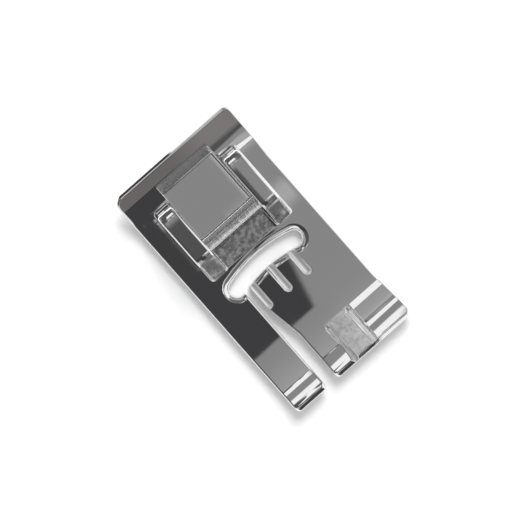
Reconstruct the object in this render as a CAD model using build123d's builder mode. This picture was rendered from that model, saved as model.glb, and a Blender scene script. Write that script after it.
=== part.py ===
"""Presser foot that clips onto a sewing machine's ankle by its cross pin.

Millimetres, +Z up, toes towards -Y and heel towards +Y. The origin is on the sole, in the
middle of the foot's box. The needle drops at x = 0.
"""

import os
from math import asin, cos, degrees, radians, sin, tan

from build123d import *

# Sole plate
foot_length = 38.5  # over both lips, before their edges are rounded
heel_reach = 19.43  # from the needle line back to the heel's lip
left_half_width = 10.25
right_half_width = 9.92
plate_thickness = 1.5
edge_round = 0.3

# Heel, which curls up behind a first plain slope
heel_bend_radius = 1.5
heel_slope = 5.0
heel_slope_length = 0.4
heel_radius = 9.66
heel_angle = 26.0
heel_straight = 1.66  # run of the last plain slope, up to the lip
heel_lip = 0.9
heel_lip_slope = 42.0  # the lip's own face, falling outwards
heel_sole_lead = 0.8  # the sole lifts this far ahead of the top
heel_corner_left = 1.2
heel_corner_right = 0.9
heel_flare = 0.15
heel_flare_start = 6.3  # from the heel's edge ahead
heel_flare_length = 2.8

# Toes, which curl up behind a first plain slope
toe_bend_radius = 1.5
toe_slope = 6.0
toe_slope_length = 0.5
toe_radius = 8.0
toe_angle = 22.0
toe_nose_length = 0.86
toe_nose_drop = 0.72
toe_sole_lead = 0.4
toe_corner = 0.6
toe_flare = 0.33
flare_start = 7.67  # from the toe's edge back
flare_length = 3.8
flare_round = 8.0

# Needle slot, a crescent with a rounded rim
slot_length = 12.4
slot_width = 2.2
slot_bow_radius = 18.5
slot_rim = 0.95
slot_left_shift = 0.15  # of its middle, from the needle's place
slot_rear_shift = 0.05

# Gap between the toes
gap_left = 4.93
gap_right_rear = 3.95
gap_right_front = 3.1
gap_taper_start = 6.0
gap_taper_length = 4.8
gap_round = 6.0

# Marks for the three needle positions
mark_pitch = 3.5
mark_reach = 5.15
mark_radius = 0.66
mark_depth = 0.36

# Ears that carry the pin
ear_gap = 9.0
ear_thickness = 2.65
ear_height = 4.0
ear_front = 2.1  # foot of the front slope, behind the needle line
ear_heel_gap = 5.03  # foot of the rear slope, ahead of the heel's edge
ear_front_slope = 54.5
ear_rear_slope = 77.0
ear_front_round = 1.5
ear_rear_round = 1.6
ear_edge_round = 0.38
ear_foot_round = 0.25
ear_root = 0.9  # how deep the ear runs into the plate

# Floor between the ears, which falls towards the heel
floor_inset = 0.05  # from the ears' inner faces to the floor's sides
floor_front = 0.06  # from the slot's rim to its front edge
floor_heel_gap = 3.83  # from its rear end to the heel's edge
floor_fall = 0.65
floor_back_slope = 52.0
floor_round = 0.4
floor_side_round = 0.35  # along its right side

# Cross pin
pin_diameter = 2.2
pin_fit = 0.01  # radial clearance in the ears
pin_setback = 6.4
pin_rise = 2.2  # above the plate
pin_chamfer = 0.2

# Guide lines and lands on the right toe, each length from the toe's edge back
guide_inner = 0.48
guide_outer = 4.12
guide_length = 6.57
guide_floor = 0.5
guide_dip = 0.28
guide_dip_length = 0.45
guide_tip_depth = 0.42
guide_half_angle = 34.0
land_length = 6.87
land_slope = 5.5
land_root = 0.6
step_length = 6.77
step_side = 4.65
step_depth = 0.045
step_ramp = 0.9
step_bend = 3.82  # start of its own, flatter curl
step_radius = 9.0
step_tip_length = 0.95  # the rounded tip, back from the toe's edge
step_tip_drop = 0.5

# Working allowances
over = 3.0  # how far a cutting profile stands past what it cuts
cap_normal = 0.8  # a face whose normal rises more than this is a top or a sole

# Values worked out from the sizes above
heel_y = foot_length / 2
toe_y = -foot_length / 2
needle_y = heel_y - heel_reach
right_toe_width = right_half_width + toe_flare
top_z = plate_thickness + ear_height
half_gap = ear_gap / 2
floor_half = half_gap - floor_inset


Pair = tuple[float, float]


def along_arc(start: Pair, radius: float, turns: Pair, way: int) -> Pair:
    """Return the (y, z) end of an arc that curls a face up.

    Args:
        start: where the arc starts.
        radius: its radius.
        turns: the face's slope at the arc's start and end, in degrees.
        way: 1 towards the heel, -1 towards the toes.

    Returns:
        The end point in the YZ plane.
    """
    first, last = radians(turns[0]), radians(turns[1])
    return start[0] + way * radius * (sin(last) - sin(first)), start[1] + radius * (cos(first) - cos(last))


def along_slope(start: Pair, run: float, slope: float, way: int) -> Pair:
    """Return the (y, z) end of a plain slope.

    Args:
        start: where the slope starts.
        run: its length in plan.
        slope: its rise in degrees.
        way: 1 towards the heel, -1 towards the toes.

    Returns:
        The end point in the YZ plane.
    """
    return start[0] + way * run, start[1] + run * tan(radians(slope))


def heading(slope: float, way: int) -> Pair:
    """Return the (y, z) direction of a face that rises by a slope in degrees."""
    return way * cos(radians(slope)), sin(radians(slope))


heel_lip_run = heel_lip * cos(radians(heel_lip_slope))
heel_curl_run = heel_radius * (sin(radians(heel_angle)) - sin(radians(heel_slope)))
heel_bend_run = heel_bend_radius * sin(radians(heel_slope)) + heel_slope_length
heel_bend_y = heel_y - heel_lip_run - heel_straight - heel_curl_run - heel_bend_run
heel_bend = (heel_bend_y, plate_thickness)
heel_bend_end = along_arc(heel_bend, heel_bend_radius, (0, heel_slope), 1)
heel_curl = along_slope(heel_bend_end, heel_slope_length, heel_slope, 1)
heel_curl_end = along_arc(heel_curl, heel_radius, (heel_slope, heel_angle), 1)
heel_top = along_slope(heel_curl_end, heel_straight, heel_angle, 1)
heel_under = along_slope(heel_top, heel_lip_run, -heel_lip_slope, 1)
toe_curl_run = toe_radius * (sin(radians(toe_angle)) - sin(radians(toe_slope)))
toe_bend_run = toe_bend_radius * sin(radians(toe_slope))
toe_bend_y = toe_y + toe_nose_length + toe_curl_run + toe_slope_length + toe_bend_run
toe_bend = (toe_bend_y, plate_thickness)
toe_bend_end = along_arc(toe_bend, toe_bend_radius, (0, toe_slope), -1)
toe_curl = along_slope(toe_bend_end, toe_slope_length, toe_slope, -1)
toe_top = along_arc(toe_curl, toe_radius, (toe_slope, toe_angle), -1)
toe_nose = (toe_y, toe_top[1] - toe_nose_drop)

# Floor, slot, marks, guides and pin, placed from the needle line
floor_rear_y = heel_y - floor_heel_gap
floor_back_run = (ear_height + floor_fall + over) / tan(radians(floor_back_slope))
slot_end = slot_length / 2 - slot_width / 2
slot_turn = degrees(asin(slot_end / slot_bow_radius))
slot_y = needle_y + slot_rear_shift
floor_front_y = slot_y + slot_width / 2 + slot_rim + floor_front
slot_centre = (-slot_left_shift, slot_y - slot_bow_radius)
slot_line = CenterArc(slot_centre, slot_bow_radius, 90 - slot_turn, 2 * slot_turn)
slot_block = (slot_length + 4 * slot_rim, 2 * (slot_width + slot_rim) + over, plate_thickness)
mark_axis_z = plate_thickness - mark_depth + mark_radius
step_start_y = toe_y + step_length
step_z = plate_thickness - step_depth
step_curl = (toe_y + step_bend, step_z)
step_angle = degrees(asin((step_bend - step_tip_length) / step_radius))
step_tip = along_arc(step_curl, step_radius, (0, step_angle), -1)
step_end = (toe_y, step_tip[1] - step_tip_drop)
land_start_y = toe_y + land_length
land_end_z = plate_thickness + (land_start_y - toe_top[0]) * tan(radians(land_slope))
guide_start = Vector(0, toe_y + guide_length, plate_thickness)
guide_low = guide_start - Vector(0, guide_dip_length, guide_dip)
guide_end = Vector(0, toe_y, toe_top[1] - guide_tip_depth)
guide_bottom = guide_floor / 2
guide_mouth = guide_bottom + over * tan(radians(guide_half_angle))
ear_outer_x = half_gap + ear_thickness
pin_y = needle_y + pin_setback
pin_z = plate_thickness + pin_rise

# Right ear, mirrored later
ear_front_y = needle_y + ear_front
ear_rear_y = heel_y - ear_heel_gap
ear_bottom_z = plate_thickness - ear_root
ear_full = ear_height + ear_root
front_run = ear_full / tan(radians(ear_front_slope))
rear_run = ear_full / tan(radians(ear_rear_slope))
front_root = ear_root / tan(radians(ear_front_slope))
rear_root = ear_root / tan(radians(ear_rear_slope))
with BuildPart() as ear:
    with BuildSketch(Plane.YZ.offset(half_gap)):
        with BuildLine():
            Polyline(
                (ear_front_y - front_root, ear_bottom_z),
                (ear_front_y - front_root + front_run, top_z),
                (ear_rear_y + rear_root - rear_run, top_z),
                (ear_rear_y + rear_root, ear_bottom_z),
                close=True,
            )
        make_face()
        fillet(vertices().group_by(Axis.Y)[-1].sort_by(Axis.X)[0], ear_front_round)
        fillet(vertices().group_by(Axis.Y)[-1].sort_by(Axis.X)[-1], ear_rear_round)
    extrude(amount=ear_thickness)
    sides = faces().filter_by(Axis.X).edges()
    fillet(sides - faces().sort_by(Axis.Z)[0].edges(), ear_edge_round)

# Space over the floor between the ears, with a round along the floor's right side
with BuildPart() as ankle_bay:
    with BuildSketch(Plane.YZ.offset(-floor_half)):
        with BuildLine():
            Polyline(
                (floor_front_y, plate_thickness),
                (floor_rear_y, plate_thickness - floor_fall),
                (floor_rear_y + floor_back_run, top_z + over),
                (floor_front_y, top_z + over),
                close=True,
            )
        make_face()
        fillet(vertices().sort_by(Axis.Y)[0], floor_round)
    extrude(amount=2 * floor_half)
    open_edges = faces().sort_by(Axis.Y)[0].edges() + faces().sort_by(Axis.Z)[-1].edges()
    fillet(faces().sort_by(Axis.X)[-1].edges() - open_edges, floor_side_round)

# Slot's opening, as what a block with a rounded slot leaves open
with BuildPart() as slot_plate:
    with Locations((-slot_left_shift, slot_y)):
        Box(*slot_block, align=(Align.CENTER, Align.CENTER, Align.MIN))
    with BuildSketch():
        SlotArc(slot_line, slot_width)
    extrude(amount=plate_thickness, mode=Mode.SUBTRACT)
    top = faces().sort_by(Axis.Z)[-1]
    fillet(top.inner_wires().edges(), slot_rim)
with BuildPart() as slot_opening:
    with Locations((-slot_left_shift, slot_y)):
        Box(*slot_block, align=(Align.CENTER, Align.CENTER, Align.MIN))
    add(slot_plate.part, mode=Mode.SUBTRACT)

# Foot: plate, curls, ears and every opening, cast as one
with BuildPart() as foot_body:
    with BuildSketch(Plane.YZ.offset(-left_half_width)):
        with BuildLine():
            Line(toe_bend, heel_bend)
            TangentArc(heel_bend, heel_bend_end, tangent=heading(0, 1))
            Line(heel_bend_end, heel_curl)
            TangentArc(heel_curl, heel_curl_end, tangent=heading(heel_slope, 1))
            Polyline(heel_curl_end, heel_top, heel_under)
            TangentArc((heel_bend_y - heel_sole_lead, 0), heel_under, tangent=heading(0, 1))
            Line((heel_bend_y - heel_sole_lead, 0), (toe_bend_y + toe_sole_lead, 0))
            TangentArc((toe_bend_y + toe_sole_lead, 0), toe_nose, tangent=heading(0, -1))
            Line(toe_nose, toe_top)
            TangentArc(toe_curl, toe_top, tangent=heading(toe_slope, -1))
            Line(toe_bend_end, toe_curl)
            TangentArc(toe_bend, toe_bend_end, tangent=heading(0, -1))
        make_face()
    extrude(amount=left_half_width + right_toe_width)

    # Plan outline with the flared right toe
    with BuildSketch(Plane.XY.offset(-over)):
        with BuildLine():
            Polyline(
                (-left_half_width, heel_y + over),
                (-left_half_width, toe_y - over),
                (right_toe_width, toe_y - over),
                (right_toe_width, toe_y + flare_start - flare_length),
                (right_half_width, toe_y + flare_start),
                (right_half_width, heel_y - heel_flare_start - heel_flare_length),
                (right_half_width + heel_flare, heel_y - heel_flare_start),
                (right_half_width + heel_flare, heel_y + over),
                close=True,
            )
        make_face()
        fillet(vertices().group_by(Axis.Y)[1:3], flare_round)
    extrude(amount=top_z + 2 * over, mode=Mode.INTERSECT)

    # Gap between the toes
    with BuildSketch(Plane.XY.offset(-over)):
        with BuildLine():
            Polyline(
                (-gap_left, needle_y),
                (-gap_left, toe_y - over),
                (-gap_right_front, toe_y - over),
                (-gap_right_front, needle_y - gap_taper_start - gap_taper_length),
                (-gap_right_rear, needle_y - gap_taper_start),
                (-gap_right_rear, needle_y),
                close=True,
            )
        make_face()
        fillet(vertices().group_by(Axis.Y)[1:3], gap_round)
    extrude(amount=top_z + 2 * over, mode=Mode.SUBTRACT)

    # Corners in plan
    toe_ends = faces().sort_by(Axis.Y)[:2]
    fillet(toe_ends.edges().filter_by(Axis.X, reverse=True), toe_corner)
    heel_end = faces().sort_by(Axis.Y)[-1]
    fillet(heel_end.edges().filter_by(Axis.X, reverse=True).sort_by(Axis.X)[0], heel_corner_left)
    heel_end = faces().filter_by(GeomType.PLANE).sort_by(Axis.Y)[-1]
    fillet(heel_end.edges().filter_by(Axis.X, reverse=True).sort_by(Axis.X)[-1], heel_corner_right)

    # Rounded edge along the whole outline, on top and below
    caps = faces().filter_by(lambda face: abs(face.normal_at().Z) > cap_normal)
    fillet(caps.edges() & (faces() - caps).edges(), edge_round)

    # Ears, with a small round where they leave the plate
    add(ear.part)
    fillet(edges(Select.NEW), ear_foot_round)
    mirror(ear.part, about=Plane.YZ)
    fillet(edges(Select.NEW), ear_foot_round)

    # Floor between the ears
    add(ankle_bay.part, mode=Mode.SUBTRACT)

    # Needle slot with its rim
    add(slot_opening.part, mode=Mode.SUBTRACT)

    # Marks for the needle positions, round grooves with round ends
    with Locations(*[(side * mark_pitch, needle_y - mark_reach, mark_axis_z) for side in (-1, 0, 1)]):
        Sphere(mark_radius, mode=Mode.SUBTRACT)
        Cylinder(
            mark_radius,
            mark_reach,
            rotation=(90, 0, 0),
            align=(Align.CENTER, Align.CENTER, Align.MAX),
            mode=Mode.SUBTRACT,
        )

    # Step on the outer land of the right toe
    with BuildSketch(Plane.YZ.offset(step_side)):
        with BuildLine():
            Line((step_start_y, plate_thickness), (step_start_y - step_ramp, step_z))
            Line((step_start_y - step_ramp, step_z), step_curl)
            TangentArc(step_curl, step_tip, tangent=heading(0, -1))
            TangentArc(step_tip, step_end, tangent=heading(step_angle, -1))
            Polyline(step_end, (toe_y - over, step_end[1]), (toe_y - over, top_z), (step_start_y, top_z))
            Line((step_start_y, top_z), (step_start_y, plate_thickness))
        make_face()
    extrude(amount=right_toe_width, mode=Mode.SUBTRACT)

    # Raised land between the two guide lines, a ramp that meets the toe's curl
    with BuildSketch(Plane.YZ.offset(guide_inner)):
        with BuildLine():
            Polyline(
                (land_start_y, plate_thickness),
                (toe_top[0], land_end_z),
                (toe_top[0], land_end_z - land_root),
                (land_start_y, plate_thickness - land_root),
                close=True,
            )
        make_face()
    extrude(amount=guide_outer - guide_inner)

    # Guide lines, which dip into the plate and climb with the toe
    for guide_x in (guide_inner, guide_outer):
        for low, high in ((guide_start, guide_low), (guide_low, guide_end)):
            with BuildSketch(Plane.XZ.offset(-low.Y)):
                with BuildLine():
                    Polyline(
                        (guide_x - guide_bottom, low.Z),
                        (guide_x + guide_bottom, low.Z),
                        (guide_x + guide_mouth, low.Z + over),
                        (guide_x - guide_mouth, low.Z + over),
                        close=True,
                    )
                make_face()
            extrude(amount=(high - low).length, dir=high - low, mode=Mode.SUBTRACT)

    # Hole for the pin, through both ears
    with BuildSketch(Plane.YZ.offset(-ear_outer_x - over)):
        with Locations((pin_y, pin_z)):
            Circle(pin_diameter / 2 + pin_fit)
    extrude(amount=2 * (ear_outer_x + over), mode=Mode.SUBTRACT)

foot_body.part.label = "foot_body"

# Cross pin, flush with the ears' outer faces
with BuildPart() as cross_pin:
    with BuildSketch(Plane.YZ.offset(-ear_outer_x)):
        with Locations((pin_y, pin_z)):
            Circle(pin_diameter / 2)
    extrude(amount=2 * ear_outer_x)
    chamfer(edges().filter_by(GeomType.CIRCLE), pin_chamfer)
cross_pin.part.label = "cross_pin"

os.makedirs("parts", exist_ok=True)
export_step(foot_body.part, "parts/foot_body.step")
export_step(cross_pin.part, "parts/cross_pin.step")
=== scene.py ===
"""Presser foot of a sewing machine: a chrome plated casting with a cross pin, on a pale table.

Metres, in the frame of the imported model: sole on z = 0, toes towards -Y, heel towards +Y.
Places and patterns on a finish are in millimetres of the same frame.
"""

import logging
import math
from dataclasses import dataclass, field
from enum import Enum
from typing import TypeAlias

import bpy
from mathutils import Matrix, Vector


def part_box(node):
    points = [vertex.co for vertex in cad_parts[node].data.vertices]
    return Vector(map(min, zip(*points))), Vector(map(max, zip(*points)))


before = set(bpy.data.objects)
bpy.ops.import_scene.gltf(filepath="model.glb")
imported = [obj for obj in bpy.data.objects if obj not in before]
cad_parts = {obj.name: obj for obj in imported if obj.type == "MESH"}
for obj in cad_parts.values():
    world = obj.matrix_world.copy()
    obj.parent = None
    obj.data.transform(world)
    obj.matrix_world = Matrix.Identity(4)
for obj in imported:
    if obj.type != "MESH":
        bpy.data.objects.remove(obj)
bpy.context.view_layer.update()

MM = 0.001
PLATE_TOP_MM = 1.5
LOG = logging.getLogger("presser_foot")

Colour: TypeAlias = tuple[float, float, float]
Point: TypeAlias = tuple[float, float, float]
Span: TypeAlias = tuple[float, float]
Value: TypeAlias = "float | Wire"


class Finish(Enum):
    """Names of the materials on the foot and around it."""

    PLATED_CASTING = "plated_casting"
    PLATED_PIN = "plated_pin"
    TABLE = "pale_table"
    FLAG = "dark_flag"


class Tone(Enum):
    """Grey levels of the studio's panels, as light that they send out."""

    WHITE = (0.98, 0.98, 0.98)
    LIGHT = (0.62, 0.62, 0.62)
    SILVER = (0.42, 0.42, 0.422)
    GREY = (0.265, 0.265, 0.267)
    WARM_PALE = (0.215, 0.205, 0.2)
    WARM = (0.155, 0.147, 0.142)
    WARM_DARK = (0.105, 0.1, 0.097)
    SHADE = (0.09, 0.09, 0.091)
    DARK = (0.052, 0.052, 0.054)


class Kept(Enum):
    """Names of the values that the skin's nodes keep on a mesh."""

    FLAT = "flat_face"
    FLAT_WEIGHT = "__mod_weightednormals_faceweight"
    BORDER = "face_border"
    EASED = "bevel_weight_edge"


class MixSocket(Enum):
    """Sockets of a Mix node that are used for colours, which share their names with others."""

    SHARE = 0
    FIRST = 6
    SECOND = 7
    RESULT = 2


@dataclass(frozen=True)
class Wire:
    """A node's output, with arithmetic that adds Math nodes to its graph."""

    graph: "Graph"
    socket: bpy.types.NodeSocket | None

    def _math(self, operation: str, *values: Value) -> "Wire":
        """Return the result of a Math node on the given values."""
        return self.graph.node("ShaderNodeMath", {"operation": operation}, dict(enumerate(values)))

    def __add__(self, other: Value) -> "Wire":
        """Return self + other."""
        return self._math("ADD", self, other)

    def __radd__(self, other: Value) -> "Wire":
        """Return other + self."""
        return self._math("ADD", other, self)

    def __sub__(self, other: Value) -> "Wire":
        """Return self - other."""
        return self._math("SUBTRACT", self, other)

    def __rsub__(self, other: Value) -> "Wire":
        """Return other - self."""
        return self._math("SUBTRACT", other, self)

    def __mul__(self, other: Value) -> "Wire":
        """Return self * other."""
        return self._math("MULTIPLY", self, other)

    def __rmul__(self, other: Value) -> "Wire":
        """Return other * self."""
        return self._math("MULTIPLY", other, self)

    def __truediv__(self, other: Value) -> "Wire":
        """Return self / other."""
        return self._math("DIVIDE", self, other)

    def __rtruediv__(self, other: Value) -> "Wire":
        """Return other / self."""
        return self._math("DIVIDE", other, self)

    def over(self, limit: Value) -> "Wire":
        """Return 1 where self is above the limit, otherwise 0."""
        return self._math("GREATER_THAN", self, limit)

    def at_least(self, other: Value) -> "Wire":
        """Return the larger of self and other."""
        return self._math("MAXIMUM", self, other)

    def at_most(self, other: Value) -> "Wire":
        """Return the smaller of self and other."""
        return self._math("MINIMUM", self, other)

    def size(self) -> "Wire":
        """Return the absolute value."""
        return self._math("ABSOLUTE", self)

    def degrees_over(self, other: Value) -> "Wire":
        """Return the angle, in degrees, whose tangent is self over other."""
        return self._math("ARCTAN2", self, other) * math.degrees(1.0)

    def rise(self, low: float, high: float, least: float = 0.0) -> "Wire":
        """Return a smooth step.

        Args:
            low: where it starts.
            high: where it reaches 1.
            least: its value before the start.

        Returns:
            The step, from least to 1.
        """
        return self.graph.node(
            "ShaderNodeMapRange",
            {"interpolation_type": "SMOOTHSTEP"},
            {"Value": self, "From Min": low, "From Max": high, "To Min": least},
        )

    def fall(self, low: float, high: float) -> "Wire":
        """Return a smooth step that is 1 below low and 0 above high."""
        return self.rise(high, low)

    def within(self, span: Span, soft: float) -> "Wire":
        """Mark a span of values.

        Args:
            span: its two ends.
            soft: the width of the step at each end.

        Returns:
            1 inside the span, 0 outside it.
        """
        low, high = span
        half = soft / 2
        return self.rise(low - half, low + half) - self.rise(high - half, high + half)

    def other(self, output: int | str) -> "Wire":
        """Return another output of the same node."""
        return Wire(self.graph, self.socket.node.outputs[output])


class Graph:
    """The node tree of a material, a modifier or the world, filled by one method."""

    def __init__(self, tree: bpy.types.NodeTree) -> None:
        """Take over a tree and empty it.

        Args:
            tree: the node tree to fill.
        """
        self.tree = tree
        tree.nodes.clear()

    def node(self, kind: str, settings: dict | None = None, inputs: dict | None = None,
             output: int | str = 0) -> Wire:
        """Add a node.

        Args:
            kind: the node's type.
            settings: its properties, which are set first.
            inputs: values or wires for its sockets, by index or name.
            output: the socket to return, by index or name.

        Returns:
            The chosen output, or an empty wire from a node that has none.
        """
        made = self.tree.nodes.new(kind)
        for name, value in (settings or {}).items():
            setattr(made, name, value)
        for key, value in (inputs or {}).items():
            if isinstance(value, Wire):
                self.tree.links.new(value.socket, made.inputs[key])
            else:
                made.inputs[key].default_value = value
        return Wire(self, made.outputs[output] if made.outputs else None)

    def mix(self, share: Value, first: Colour | Wire, second: Colour | Wire) -> Wire:
        """Mix two colours.

        Args:
            share: 0 for the first, 1 for the second.
            first: a colour or a wire that carries one.
            second: a colour or a wire that carries one.

        Returns:
            The mixed colour.
        """
        inputs = {MixSocket.SHARE.value: share}
        for socket, end in ((MixSocket.FIRST, first), (MixSocket.SECOND, second)):
            inputs[socket.value] = end if isinstance(end, Wire) else (*end, 1.0)
        return self.node("ShaderNodeMix", {"data_type": "RGBA"}, inputs, MixSocket.RESULT.value)

    def scale(self, vector: Wire, factor: Value) -> Wire:
        """Return a vector times a number."""
        inputs = {"Vector": vector, "Scale": factor}
        return self.node("ShaderNodeVectorMath", {"operation": "SCALE"}, inputs)

    def axes(self, vector: Wire) -> tuple[Wire, Wire, Wire]:
        """Return the three numbers of a vector."""
        across = self.node("ShaderNodeSeparateXYZ", None, {"Vector": vector})
        return across, across.other("Y"), across.other("Z")

    def place(self) -> Wire:
        """Return the point on the surface, in millimetres of the foot's frame."""
        return self.scale(self.node("ShaderNodeTexCoord", output="Object"), 1.0 / MM)

    def end(self, shader: Wire) -> None:
        """Make the shader the material's surface."""
        self.node("ShaderNodeOutputMaterial", None, {"Surface": shader})

    def end_as_metal(self, colour: Wire, metallic: Value, roughness: Wire, height: Wire) -> None:
        """Make a metal the material's surface.

        Args:
            colour: its colour.
            metallic: 1 for bare metal, less where it is frosted.
            roughness: how far its mirror is blurred.
            height: its relief, in millimetres.
        """
        relief = {"Strength": 1.0, "Distance": MM, "Height": height}
        looks = {
            "Base Color": colour,
            "Metallic": metallic,
            "Roughness": roughness,
            "Normal": self.node("ShaderNodeBump", None, relief),
        }
        self.end(self.node("ShaderNodeBsdfPrincipled", None, looks))


def new_material(finish: Finish) -> tuple[bpy.types.Material, Graph]:
    """Make an empty node material.

    Args:
        finish: the finish that it shows.

    Returns:
        The material and its graph.
    """
    material = bpy.data.materials.new(finish.value)
    material.use_nodes = True
    return material, Graph(material.node_tree)


def new_board(name: str, corners: list[Point], material: bpy.types.Material) -> bpy.types.Object:
    """Make a flat board.

    Args:
        name: the board's name.
        corners: its four corners, in turn.
        material: its finish.

    Returns:
        The board, in the scene.
    """
    mesh = bpy.data.meshes.new(name)
    mesh.from_pydata(corners, [], [tuple(range(len(corners)))])
    mesh.materials.append(material)
    board = bpy.data.objects.new(name, mesh)
    bpy.context.scene.collection.objects.link(board)
    return board


@dataclass(frozen=True)
class Mottle:
    """A smooth random change over a surface.

    Attributes:
        waves: waves to the millimetre.
        octaves: how many finer octaves are added.
        fine: how strong each finer octave is.
        limits: the random values at which a cover starts and is whole.
        least: the cover before it starts.
        stretch: factors on the three axes, if any.
    """

    waves: float
    octaves: float = 3.0
    fine: float = 0.6
    limits: Span = (0.0, 1.0)
    least: float = 0.0
    stretch: Point | None = None

    def value(self, graph: Graph, at: Wire) -> Wire:
        """Return the plain random value, about one half.

        Args:
            graph: the graph that gets the nodes.
            at: the point, in millimetres.

        Returns:
            The value, mostly between 0 and 1.
        """
        if self.stretch is not None:
            factors = {0: at, 1: self.stretch}
            at = graph.node("ShaderNodeVectorMath", {"operation": "MULTIPLY"}, factors)
        inputs = {"Vector": at, "Scale": self.waves, "Detail": self.octaves, "Roughness": self.fine}
        return graph.node("ShaderNodeTexNoise", None, inputs)

    def cover(self, graph: Graph, at: Wire) -> Wire:
        """Return how far the change covers the surface, from least to 1."""
        return self.value(graph, at).rise(*self.limits, self.least)


@dataclass(frozen=True)
class CastPlaces:
    """Where the casting keeps a duller skin than its mirror, in millimetres; the strip, the ear
    fronts and the back wall also carry painted shade.

    An edge, a rear, a rim and low_top are spans over which a skin fades out, and an edge is
    measured from the middle of its place. The strip's skin ends and the ears' begins at low_top.
    """

    plate_top: float = PLATE_TOP_MM
    soft: float = 0.2
    low_top: Span = (1.6, 1.9)
    strip_edge: Span = (4.3, 4.5)
    strip_along: Span = (2.0, 5.6)
    strip_soft: float = 0.3
    ear_across: Span = (4.4, 7.3)
    slope_foot: float = 1.92
    slope_angle: float = 54.5
    slope_edge: Span = (0.1, 0.3)
    wall_edge: Span = (4.4, 4.5)
    wall_along: Span = (15.5, 16.8)
    ramp_across: Span = (0.2, 4.5)
    ramp_rear: Span = (-12.6, -12.2)
    mark_pitch: float = 3.5
    mark_edge: Span = (0.56, 0.66)
    mark_along: Span = (-6.0, -1.0)
    mark_rim: Span = (1.47, 1.495)

    def strip(self, x: Wire, y: Wire, z: Wire) -> Wire:
        """Return where the low strip in front of the pin is."""
        beside = x.size().fall(*self.strip_edge)
        return beside * y.within(self.strip_along, self.strip_soft) * z.fall(*self.low_top)

    def ear_slopes(self, x: Wire, y: Wire, z: Wire) -> Wire:
        """Find the front slopes of both ears.

        Args:
            x: the place across the foot.
            y: the place along it.
            z: the height above the sole.

        Returns:
            1 on the slopes, 0 elsewhere.
        """
        steepness = math.tan(math.radians(self.slope_angle))
        above_slope = (z - self.plate_top) - (y - self.slope_foot) * steepness
        across = x.size().within(self.ear_across, self.soft)
        return across * above_slope.size().fall(*self.slope_edge) * z.rise(*self.low_top)

    def back_wall(self, x: Wire, y: Wire) -> Wire:
        """Return where the wall behind the floor is."""
        return x.size().fall(*self.wall_edge) * y.within(self.wall_along, self.soft)

    def guide_ramp(self, x: Wire, y: Wire) -> Wire:
        """Return where the ramp at the toes and its guide lines are."""
        return x.within(self.ramp_across, self.soft) * y.fall(*self.ramp_rear)

    def needle_marks(self, x: Wire, y: Wire, z: Wire) -> Wire:
        """Find the grooves of the three needle marks.

        Args:
            x: the place across the foot.
            y: the place along it.
            z: the height above the sole.

        Returns:
            1 in the grooves, 0 elsewhere.
        """
        pitch = self.mark_pitch
        beside = (x + pitch).size().at_most(x.size()).at_most((x - pitch).size())
        groove = beside.fall(*self.mark_edge) * y.within(self.mark_along, self.soft)
        return groove * z.fall(*self.mark_rim)


@dataclass(frozen=True)
class PlatedCasting:
    """Bright chrome on a zinc casting, with a faint orange peel, duller cast places and painted
    shade.
    """

    places: CastPlaces = CastPlaces()
    tint: Colour = (0.88, 0.88, 0.885)
    # Darker tint on the strip, ear fronts and back wall: duller cast skin plus painted shade
    # between the ears and under the pin.
    dull_shaded_tint: Colour = (0.2, 0.2, 0.202)
    mirror_roughness: float = 0.012
    haze: Mottle = Mottle(0.55, 4.0, limits=(0.45, 0.75), stretch=(1.0, 0.35, 1.0))
    haze_roughness: float = 0.008
    peel: Mottle = Mottle(1.1)
    peel_height: float = 0.0001
    grain: Mottle = Mottle(3.2)
    grain_height: float = 0.006
    patches: Mottle = Mottle(1.6, limits=(0.35, 0.65), least=0.7)
    strip_roughness: float = 0.14
    slope_roughness: float = 0.2
    slope_dull_shade: float = 0.75
    wall_roughness: float = 0.22
    wall_dull_shade: float = 0.45
    mark_roughness: float = 0.34
    mark_frost: float = 0.2
    mark_grain: float = 0.5
    ramp_patches: Mottle = Mottle(1.3, 4.0, 0.7, (0.3, 0.7), 0.4)
    ramp_roughness: float = 0.05
    ramp_frost: float = 0.17

    def material(self) -> bpy.types.Material:
        """Make the finish.

        Returns:
            The material.
        """
        material, graph = new_material(Finish.PLATED_CASTING)
        at = graph.place()
        x, y, z = graph.axes(at)
        patches = self.patches.cover(graph, at)
        strip = self.places.strip(x, y, z) * patches
        slope = self.places.ear_slopes(x, y, z) * patches
        wall = self.places.back_wall(x, y)
        marks = self.places.needle_marks(x, y, z)
        ramp = self.places.guide_ramp(x, y) * self.ramp_patches.cover(graph, at)
        roughness = self.mirror_roughness + self.haze.cover(graph, at) * self.haze_roughness
        roughness = roughness + strip * self.strip_roughness + slope * self.slope_roughness
        roughness = roughness + marks * self.mark_roughness + wall * self.wall_roughness
        roughness = roughness + ramp * self.ramp_roughness
        frost = marks * self.mark_frost + ramp * self.ramp_frost
        # Painted shade: the tint darkens the strip in front of the pin, the ear fronts and the wall
        # under the pin, on top of their duller cast skin.
        dull_and_shade = strip.at_least(slope * self.slope_dull_shade).at_least(wall * self.wall_dull_shade)
        peel = self.peel.value(graph, at) * self.peel_height
        grain = self.grain.value(graph, at) * self.grain_height
        grain = grain * (strip + slope + marks * self.mark_grain)
        colour = graph.mix(dull_and_shade, self.tint, self.dull_shaded_tint)
        graph.end_as_metal(colour, 1.0 - frost, roughness, peel + grain)
        return material


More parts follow.
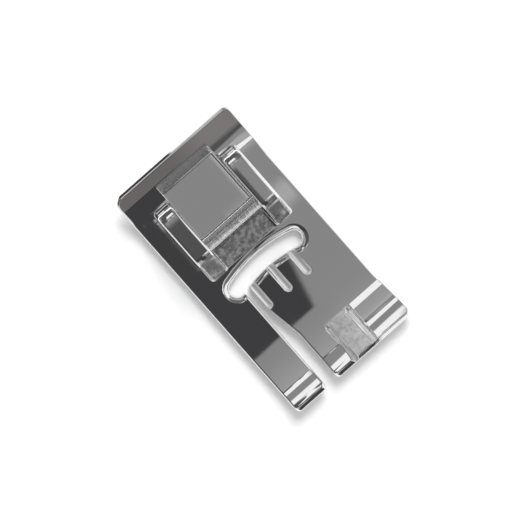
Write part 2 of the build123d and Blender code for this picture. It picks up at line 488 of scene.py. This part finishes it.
@dataclass(frozen=True)
class PlatedPin:
    """Turned and polished pin with faint rings from the lathe."""

    tint: Colour = (0.86, 0.86, 0.86)
    roughness: float = 0.07
    rings: Mottle = Mottle(12.0, stretch=(1.0, 0.02, 0.02))
    ring_height: float = 0.035
    wear: Mottle = Mottle(0.9, fine=0.5, limits=(0.4, 0.8))
    worn_tint: Colour = (0.7, 0.7, 0.7)
    worn_share: float = 0.3
    worn_roughness: float = 0.05

    def material(self) -> bpy.types.Material:
        """Make the finish.

        Returns:
            The material.
        """
        material, graph = new_material(Finish.PLATED_PIN)
        at = graph.place()
        rings = self.rings.value(graph, at) * self.ring_height
        wear = self.wear.cover(graph, at)
        colour = graph.mix(wear * self.worn_share, self.tint, self.worn_tint)
        graph.end_as_metal(colour, 1.0, self.roughness + wear * self.worn_roughness, rings)
        return material


@dataclass(frozen=True)
class PolishedSkin:
    """Modifiers that join a solid's faces, keep its flats true and ease its creases.

    Attributes:
        weld_reach: how near points have to be to become one.
        flat_share: how far a face's triangles have to face one way for it to count as flat.
        flat_weight: how strongly a flat holds the shading, in the modifier's own measure.
        flat_crease: degrees at which two flats meet in a crease.
        curved_crease: degrees at which any two faces do.
        border_limit: an edge with fewer triangles than this bounds a face of the solid.
        border_mark: above this, a welded edge still counts as such a bound.
        flat_mark: above this, a welded edge has flats on both of its sides.
        edge_width: the width of an eased edge.
        edge_steps: the strips across it.
    """

    weld_reach: float = 0.0001 * MM
    flat_share: float = 0.99999
    flat_weight: float = 16384.0
    flat_crease: float = 0.3
    curved_crease: float = 12.0
    border_limit: float = 1.5
    border_mark: float = 0.5
    flat_mark: float = 0.99
    edge_width: float = 0.05 * MM
    edge_steps: int = 2

    def put_on(self, piece: bpy.types.Object) -> None:
        """Add the modifiers.

        Args:
            piece: the object that gets them.
        """
        marked = piece.modifiers.new("flats_and_creases", "NODES")
        marked.node_group = self._flats_and_creases()
        flats = piece.modifiers.new("whole_flats", "DECIMATE")
        flats.decimate_type = "DISSOLVE"
        flats.angle_limit = math.radians(self.flat_crease)
        ease = piece.modifiers.new("eased_edges", "BEVEL")
        ease.width = self.edge_width
        ease.segments = self.edge_steps
        ease.limit_method = "WEIGHT"
        ease.use_clamp_overlap = False
        ease.face_strength_mode = "FSTR_NEW"
        joined = piece.modifiers.new("joined_points", "WELD")
        joined.merge_threshold = self.weld_reach
        shade = piece.modifiers.new("even_shading", "WEIGHTED_NORMAL")
        shade.mode = "FACE_AREA"
        shade.keep_sharp = True
        shade.use_face_influence = True

    def _flats_and_creases(self) -> bpy.types.NodeTree:
        """Make nodes that weld the faces, mark the creases and give the flats their weight.

        Returns:
            The node tree.
        """
        tree = bpy.data.node_groups.new("flats_and_creases", "GeometryNodeTree")
        for way in ("INPUT", "OUTPUT"):
            tree.interface.new_socket("Geometry", in_out=way, socket_type="NodeSocketGeometry")
        graph = Graph(tree)
        shape = graph.node("NodeGroupInput")
        flat = self._flat_faces(graph)
        shape = self._keep(graph, shape, "FACE", Kept.FLAT, flat)
        shape = self._keep(graph, shape, "FACE", Kept.FLAT_WEIGHT, flat * self.flat_weight, "INT")
        border = self.border_limit - graph.node("GeometryNodeInputMeshEdgeNeighbors")
        shape = self._keep(graph, shape, "EDGE", Kept.BORDER, border.over(0.0))
        near = {"Geometry": shape, "Distance": self.weld_reach}
        shape = graph.node("GeometryNodeMergeByDistance", None, near)
        angle = graph.node("GeometryNodeInputMeshEdgeAngle")
        sharp = angle.over(math.radians(self.curved_crease))
        both_flat = self._kept(graph, Kept.FLAT).over(self.flat_mark)
        crease = (both_flat * angle.over(math.radians(self.flat_crease))).at_least(sharp)
        crease = crease * self._kept(graph, Kept.BORDER).over(self.border_mark)
        shape = self._keep(graph, shape, "EDGE", Kept.EASED, crease * sharp)
        shading = {"Geometry": shape, "Selection": crease, "Shade Smooth": False}
        shape = graph.node("GeometryNodeSetShadeSmooth", {"domain": "EDGE"}, shading)
        graph.node("NodeGroupOutput", None, {"Geometry": shape})
        return tree

    def _flat_faces(self, graph: Graph) -> Wire:
        """Find the faces of the solid that are plane.

        Args:
            graph: the graph that gets the nodes.

        Returns:
            1 on a plane face, 0 on a curved one.
        """
        island = graph.node("GeometryNodeInputMeshIsland")
        area = graph.node("GeometryNodeInputMeshFaceArea")
        normal = graph.node("GeometryNodeInputNormal", output="True Normal")
        sums = []
        for kind, value in (("FLOAT", area), ("FLOAT_VECTOR", graph.scale(normal, area))):
            settings = {"data_type": kind, "domain": "FACE"}
            inputs = {"Value": value, "Group ID": island}
            sums.append(graph.node("GeometryNodeAccumulateField", settings, inputs, "Total"))
        whole, facing = sums
        length = graph.node(
            "ShaderNodeVectorMath", {"operation": "LENGTH"}, {"Vector": facing}, "Value"
        )
        return (length / whole).over(self.flat_share)

    @staticmethod
    def _keep(graph: Graph, shape: Wire, domain: str, name: Kept, value: Wire,
              kind: str = "FLOAT") -> Wire:
        """Store a named value on a shape.

        Args:
            graph: the node graph.
            shape: the geometry.
            domain: where the value lies, such as FACE or EDGE.
            name: the value's name.
            value: the value.
            kind: its data type.

        Returns:
            The geometry with the value.
        """
        settings = {"data_type": kind, "domain": domain}
        inputs = {"Geometry": shape, "Name": name.value, "Value": value}
        return graph.node("GeometryNodeStoreNamedAttribute", settings, inputs)

    @staticmethod
    def _kept(graph: Graph, name: Kept) -> Wire:
        """Return a value that was stored before."""
        settings = {"data_type": "FLOAT"}
        return graph.node("GeometryNodeInputNamedAttribute", settings, {"Name": name.value})


@dataclass
class ShownPiece:
    """A piece that its CAD node shows, with eased edges and its own finish."""

    node: str
    finish: PlatedCasting | PlatedPin
    skin: PolishedSkin = field(default_factory=PolishedSkin)

    def dress(self) -> bpy.types.Object:
        """Ease the node's edges, even out its shading and give it its finish.

        Returns:
            The dressed node.
        """
        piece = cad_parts[self.node]
        self.skin.put_on(piece)
        piece.data.materials.clear()
        piece.data.materials.append(self.finish.material())
        return piece


@dataclass
class FootBody(ShownPiece):
    """The cast foot, with its edges eased as plating eases them."""

    node: str = "foot_body"
    finish: PlatedCasting = field(default_factory=PlatedCasting)


@dataclass
class CrossPin(ShownPiece):
    """The pin through both ears."""

    node: str = "cross_pin"
    finish: PlatedPin = field(default_factory=PlatedPin)


@dataclass(frozen=True)
class Panel:
    """A studio panel far from the foot, by the angles from straight up at which it is seen.

    Attributes:
        tone: the light that it sends out.
        across: its two ends towards +X, in degrees.
        along: its two ends towards +Y, in degrees.
        soft_across: the width over which it fades out at the first two ends.
        soft_along: the same at the other two.
        slant: how far it moves across for each degree along.
    """

    tone: Tone
    across: Span
    along: Span
    soft_across: float
    soft_along: float
    slant: float = 0.0


@dataclass
class Surround:
    """The studio that the plating mirrors: grey ceiling, pale walls and dark panels.

    Attributes:
        lit_level: the plain light that matt surfaces get.
        backdrop: what the camera sees past the table.
        panels: the panels, each of which hides those before it.
    """

    lit_level: Colour = (0.62, 0.62, 0.62)
    backdrop: Colour = (1.0, 1.0, 1.0)
    panels: tuple[Panel, ...] = (
        # Right side
        Panel(Tone.WHITE, (22.0, 200.0), (-200.0, 14.0), 10.0, 6.0),
        Panel(Tone.WARM, (3.4, 28.0), (-95.0, -20.0), 1.5, 8.0),
        Panel(Tone.WARM, (3.6, 42.0), (5.0, 82.0), 1.5, 6.0),
        Panel(Tone.SILVER, (44.0, 89.0), (14.0, 82.0), 10.0, 8.0),
        # Left side
        Panel(Tone.DARK, (-62.0, -3.4), (-200.0, 200.0), 2.0, 1.0),
        Panel(Tone.LIGHT, (-200.0, -60.0), (-200.0, 200.0), 10.0, 1.0),
        Panel(Tone.WARM_DARK, (-62.0, -3.6), (5.0, 82.0), 1.5, 6.0),
        # Front, to the left and right
        Panel(Tone.SILVER, (-30.0, -3.6), (-85.0, -26.0), 1.5, 10.0),
        Panel(Tone.WHITE, (-62.0, -30.0), (-85.0, -26.0), 6.0, 10.0),
        Panel(Tone.WHITE, (10.5, 89.0), (-100.0, -72.0), 3.0, 4.0),
        # Rear wall with two silver panels
        Panel(Tone.WARM_DARK, (-90.0, 90.0), (42.0, 200.0), 8.0, 4.0),
        Panel(Tone.SILVER, (-86.0, -12.0), (46.0, 74.0), 8.0, 12.0),
        Panel(Tone.SILVER, (12.0, 86.0), (46.0, 74.0), 8.0, 12.0),
        # Rear, seen in the toes and in the heel's lip
        Panel(Tone.SILVER, (0.1, 0.9), (5.6, 7.1), 0.1, 0.8),
        Panel(Tone.WHITE, (-2.7, 2.7), (21.5, 42.0), 0.8, 3.0),
        Panel(Tone.DARK, (-89.0, 0.5), (82.0, 94.0), 4.0, 3.0),
        Panel(Tone.WHITE, (3.0, 89.0), (84.0, 92.0), 6.0, 3.0),
        Panel(Tone.WHITE, (-3.5, -1.05), (3.1, 10.3), 0.4, 1.0),
        Panel(Tone.WHITE, (1.05, 3.5), (3.1, 10.3), 0.4, 1.0),
        # Front, seen in the heel
        Panel(Tone.SILVER, (-2.6, 2.6), (-5.5, -3.2), 0.6, 2.0),
        Panel(Tone.SILVER, (0.6, 9.0), (-17.0, -5.0), 1.0, 8.0),
        Panel(Tone.WHITE, (0.8, 12.0), (-9.8, -3.6), 0.8, 0.8),
        Panel(Tone.SHADE, (0.4, 5.0), (-34.0, -26.5), 1.0, 3.0),
        Panel(Tone.WARM, (-3.4, 3.4), (-110.0, -33.0), 1.0, 3.0),
        Panel(Tone.WARM_PALE, (0.8, 3.8), (-110.0, -37.0), 2.2, 4.0),
        # Overhead, seen in the plate and the ear tops
        Panel(Tone.SILVER, (1.6, 2.15), (0.7, 1.4), 0.2, 0.5),
        Panel(Tone.DARK, (-60.0, -1.6), (-2.1, 3.5), 0.04, 0.1),
        Panel(Tone.DARK, (-60.0, 0.82), (-2.1, 1.0), 0.24, 0.1, 0.25),
        Panel(Tone.SHADE, (-1.62, 1.28), (1.0, 2.56), 0.04, 0.2),
        # Front left, seen in the heel and in the floor between the ears
        Panel(Tone.DARK, (-3.8, 0.0), (-46.0, -3.7), 1.0, 0.6),
        Panel(Tone.SILVER, (-1.62, 0.6), (-13.0, -3.9), 0.1, 1.5),
    )

    def build(self) -> bpy.types.World:
        """Make the world and set it.

        Returns:
            The world.
        """
        world = bpy.data.worlds.new("studio")
        world.use_nodes = True
        graph = Graph(world.node_tree)
        plain, white = ((*level, 1.0) for level in (self.lit_level, self.backdrop))
        colours = {"plain": plain, "studio": self._mirrored(graph), "white": white}
        light = {
            name: graph.node("ShaderNodeBackground", None, {"Color": colour})
            for name, colour in colours.items()
        }
        path = graph.node("ShaderNodeLightPath")
        mirrored = path.other("Is Glossy Ray").at_least(path.other("Is Transmission Ray"))
        choice = {0: mirrored, 1: light["plain"], 2: light["studio"]}
        around = graph.node("ShaderNodeMixShader", None, choice)
        choice = {0: path.other("Is Camera Ray"), 1: around, 2: light["white"]}
        surface = graph.node("ShaderNodeMixShader", None, choice)
        graph.node("ShaderNodeOutputWorld", None, {"Surface": surface})
        bpy.context.scene.world = world
        return world

    def _mirrored(self, graph: Graph) -> Wire:
        """Lay the panels over the ceiling.

        Args:
            graph: the graph that gets the nodes.

        Returns:
            The colour that is seen in each direction.
        """
        x, y, z = graph.axes(graph.node("ShaderNodeTexCoord", output="Generated"))
        across, along = x.degrees_over(z), y.degrees_over(z)
        colour: Colour | Wire = Tone.GREY.value
        for panel in self.panels:
            seen = (across - along * panel.slant).within(panel.across, panel.soft_across)
            seen = seen * along.within(panel.along, panel.soft_along)
            colour = graph.mix(seen, colour, panel.tone.value)
        return colour


@dataclass
class Table:
    """The pale table top under the foot."""

    half_size: float = 3.0
    drop: float = 0.02 * MM
    tint: Colour = (0.95, 0.95, 0.95)
    flecks: Mottle = Mottle(0.2, fine=0.5, limits=(0.3, 0.8))
    fleck_level: float = 0.985

    def build(self) -> bpy.types.Object:
        """Make the table top.

        Returns:
            The table.
        """
        half, low = self.half_size, -self.drop
        corners = [(-half, -half, low), (half, -half, low), (half, half, low), (-half, half, low)]
        table = new_board("table_top", corners, self._material())
        return table

    def _material(self) -> bpy.types.Material:
        """Make the table's matt white.

        Returns:
            The material.
        """
        material, graph = new_material(Finish.TABLE)
        flecks = self.flecks.cover(graph, graph.place())
        darker = tuple(self.fleck_level * part for part in self.tint)
        colour = graph.mix(flecks, self.tint, darker)
        graph.end(graph.node("ShaderNodeBsdfDiffuse", None, {"Color": colour}))
        return material


@dataclass
class ToeFlag:
    """A low dark board in front of the toes, seen only in the plating.

    Its foot is paler, up to a height that is given in millimetres with the fade above it.
    """

    distance: float = 30.0 * MM
    height: float = 7.0 * MM
    left_end: float = -40.0 * MM
    right_end: float = 4.4 * MM
    pale_height: float = 2.6
    pale_fade: float = 1.0

    def build(self) -> bpy.types.Object:
        """Make the board.

        Returns:
            The board.
        """
        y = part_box("foot_body")[0].y - self.distance
        left, right, top = self.left_end, self.right_end, self.height
        corners = [(left, y, 0.0), (right, y, 0.0), (right, y, top), (left, y, top)]
        flag = new_board("toe_flag", corners, self._material())
        flag.visible_camera = False
        flag.visible_diffuse = False
        flag.visible_shadow = False
        return flag

    def _material(self) -> bpy.types.Material:
        """Make the board's own dark glow.

        Returns:
            The material.
        """
        material, graph = new_material(Finish.FLAG)
        height = graph.axes(graph.place())[2]
        dark = height.rise(self.pale_height, self.pale_height + self.pale_fade)
        colour = graph.mix(dark, Tone.WARM.value, Tone.DARK.value)
        graph.end(graph.node("ShaderNodeEmission", None, {"Color": colour}))
        return material


@dataclass
class SoftLamp:
    """A large soft lamp on the foot's right, a little behind it."""

    place: Point = (0.39, 0.38, 0.41)
    side: float = 0.45
    power: float = 5.6

    def build(self) -> bpy.types.Object:
        """Make the lamp and aim it at the foot.

        Returns:
            The lamp.
        """
        data = bpy.data.lights.new("soft_lamp", "AREA")
        data.energy = self.power
        data.size = self.side
        lamp = bpy.data.objects.new("soft_lamp", data)
        lamp.location = self.place
        lamp.rotation_euler = (-lamp.location).to_track_quat("-Z", "Y").to_euler()
        lamp.visible_glossy = False
        bpy.context.scene.collection.objects.link(lamp)
        return lamp


@dataclass
class PhotoCamera:
    """The camera straight above the foot, turned by some degrees about its own axis."""

    aim: Span = (-0.40 * MM, -0.09 * MM)
    plate_top: float = PLATE_TOP_MM * MM
    distance: float = 260.0 * MM
    frame_width: float = 70.66 * MM
    turn: float = -41.4

    def build(self) -> bpy.types.Object:
        """Make the camera and make it the scene's own.

        Returns:
            The camera.
        """
        data = bpy.data.cameras.new("photo_camera")
        data.lens = data.sensor_width * self.distance / self.frame_width
        camera = bpy.data.objects.new("photo_camera", data)
        camera.location = (*self.aim, self.plate_top + self.distance)
        camera.rotation_euler = (0.0, 0.0, math.radians(self.turn))
        bpy.context.scene.collection.objects.link(camera)
        bpy.context.scene.camera = camera
        return camera


def main() -> None:
    """Dress the foot and set up the studio around it."""
    logging.basicConfig(level=logging.INFO, format="%(name)s: %(message)s")
    bpy.context.scene.view_settings.view_transform = "Standard"
    for piece in (FootBody(), CrossPin()):
        LOG.info("dressed %s", piece.dress().name)
    for item in (Table(), ToeFlag(), SoftLamp(), Surround(), PhotoCamera()):
        LOG.info("set up %s", item.build().name)


if __name__ == "__main__":
    main()
